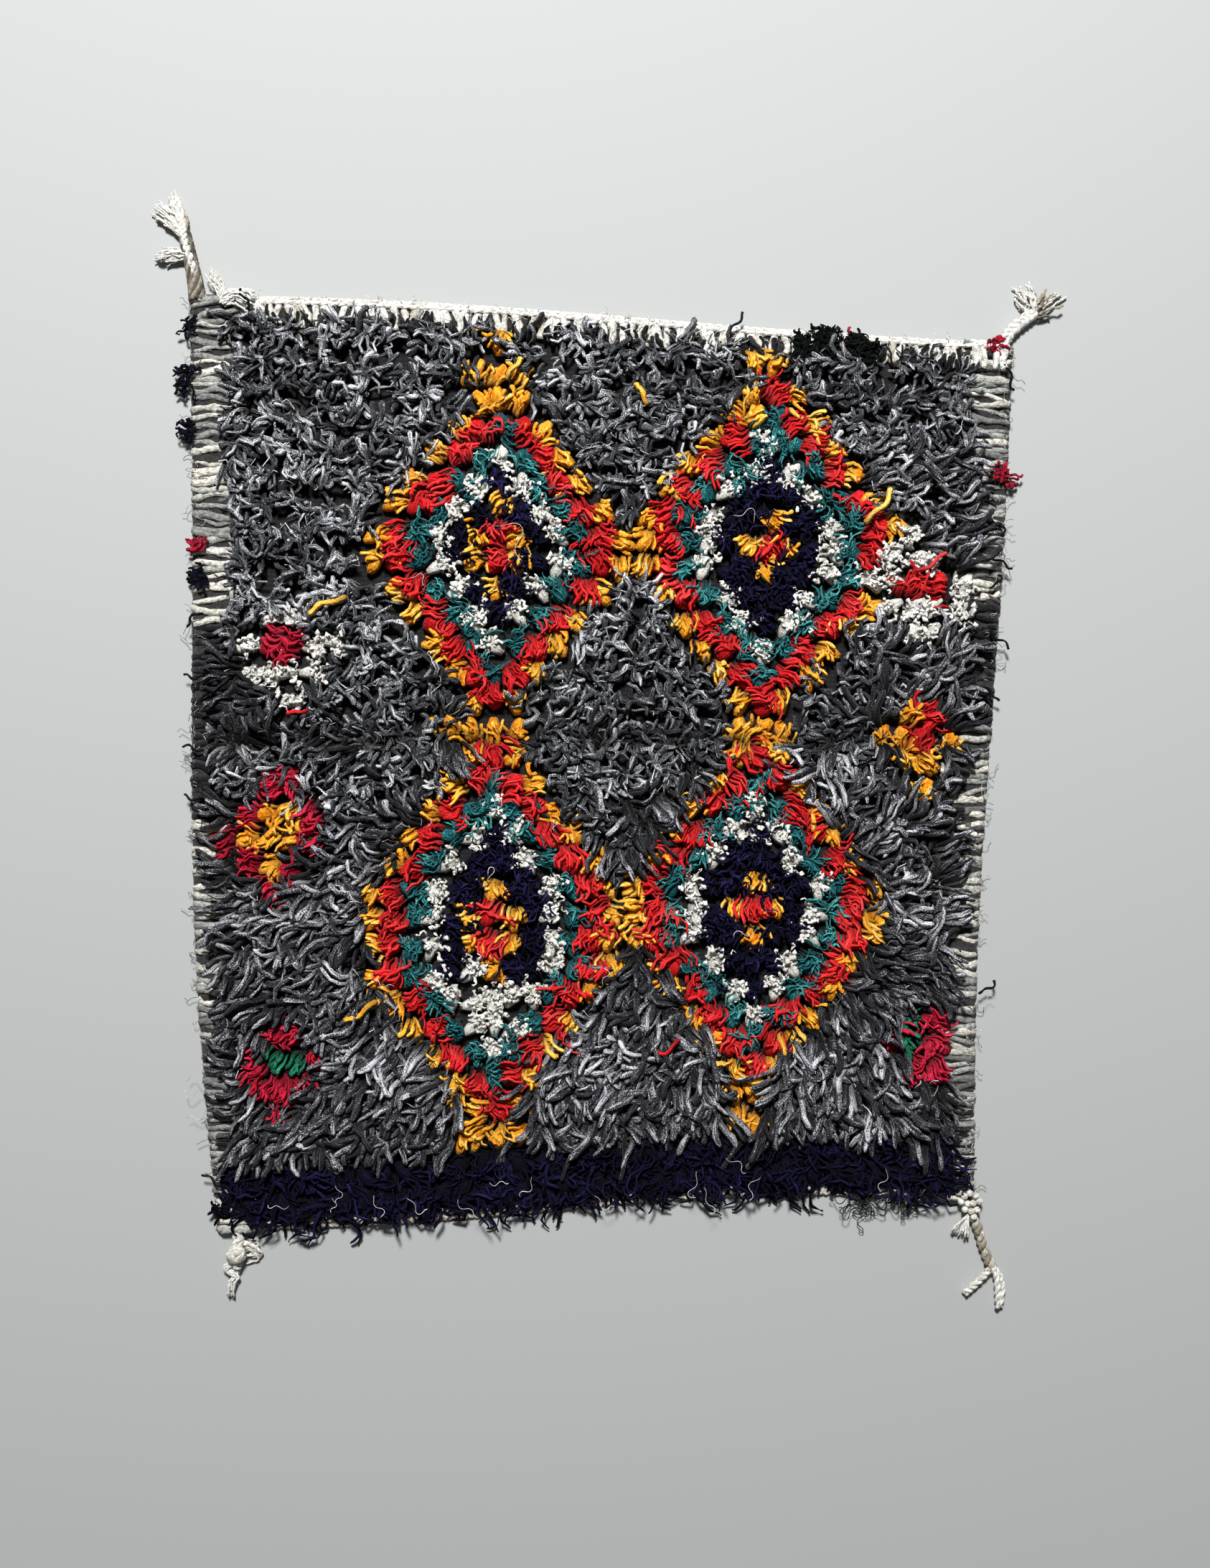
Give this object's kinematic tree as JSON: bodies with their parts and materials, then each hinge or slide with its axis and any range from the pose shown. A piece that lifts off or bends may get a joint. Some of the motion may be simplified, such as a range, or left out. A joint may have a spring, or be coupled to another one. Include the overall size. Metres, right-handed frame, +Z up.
{
  "type": "boucherouite rug",
  "caption": "Small hand-knotted rag-pile rug lying flat, with a shaggy lozenge-patterned pile, overcast selvedges, woven ends and plaited corner tassels. Floor mat.",
  "frame": {"origin": "on the flat underside, under the middle of the woven ground", "axes": "+Z up out of the pile; +Y along the warps, towards the white heading; +X across the rug, to the right seen from above with the heading away from the viewer"},
  "size_m": [0.7312, 0.9027, 0.0291],
  "materials": {
    "rag_pile": "matte",
    "selvedge_wool": "matte",
    "white_cotton": "matte"
  },
  "bodies": {
    "root": {"pile_ground": "rag_pile", "selvedge_left": "selvedge_wool", "selvedge_right": "selvedge_wool", "heading_top": "white_cotton", "end_web_bottom": "white_cotton", "tassel_top_left": "white_cotton", "tassel_top_right": "white_cotton", "tassel_bottom_left": "white_cotton", "tassel_bottom_right": "white_cotton"}
  },
  "joints": []
}
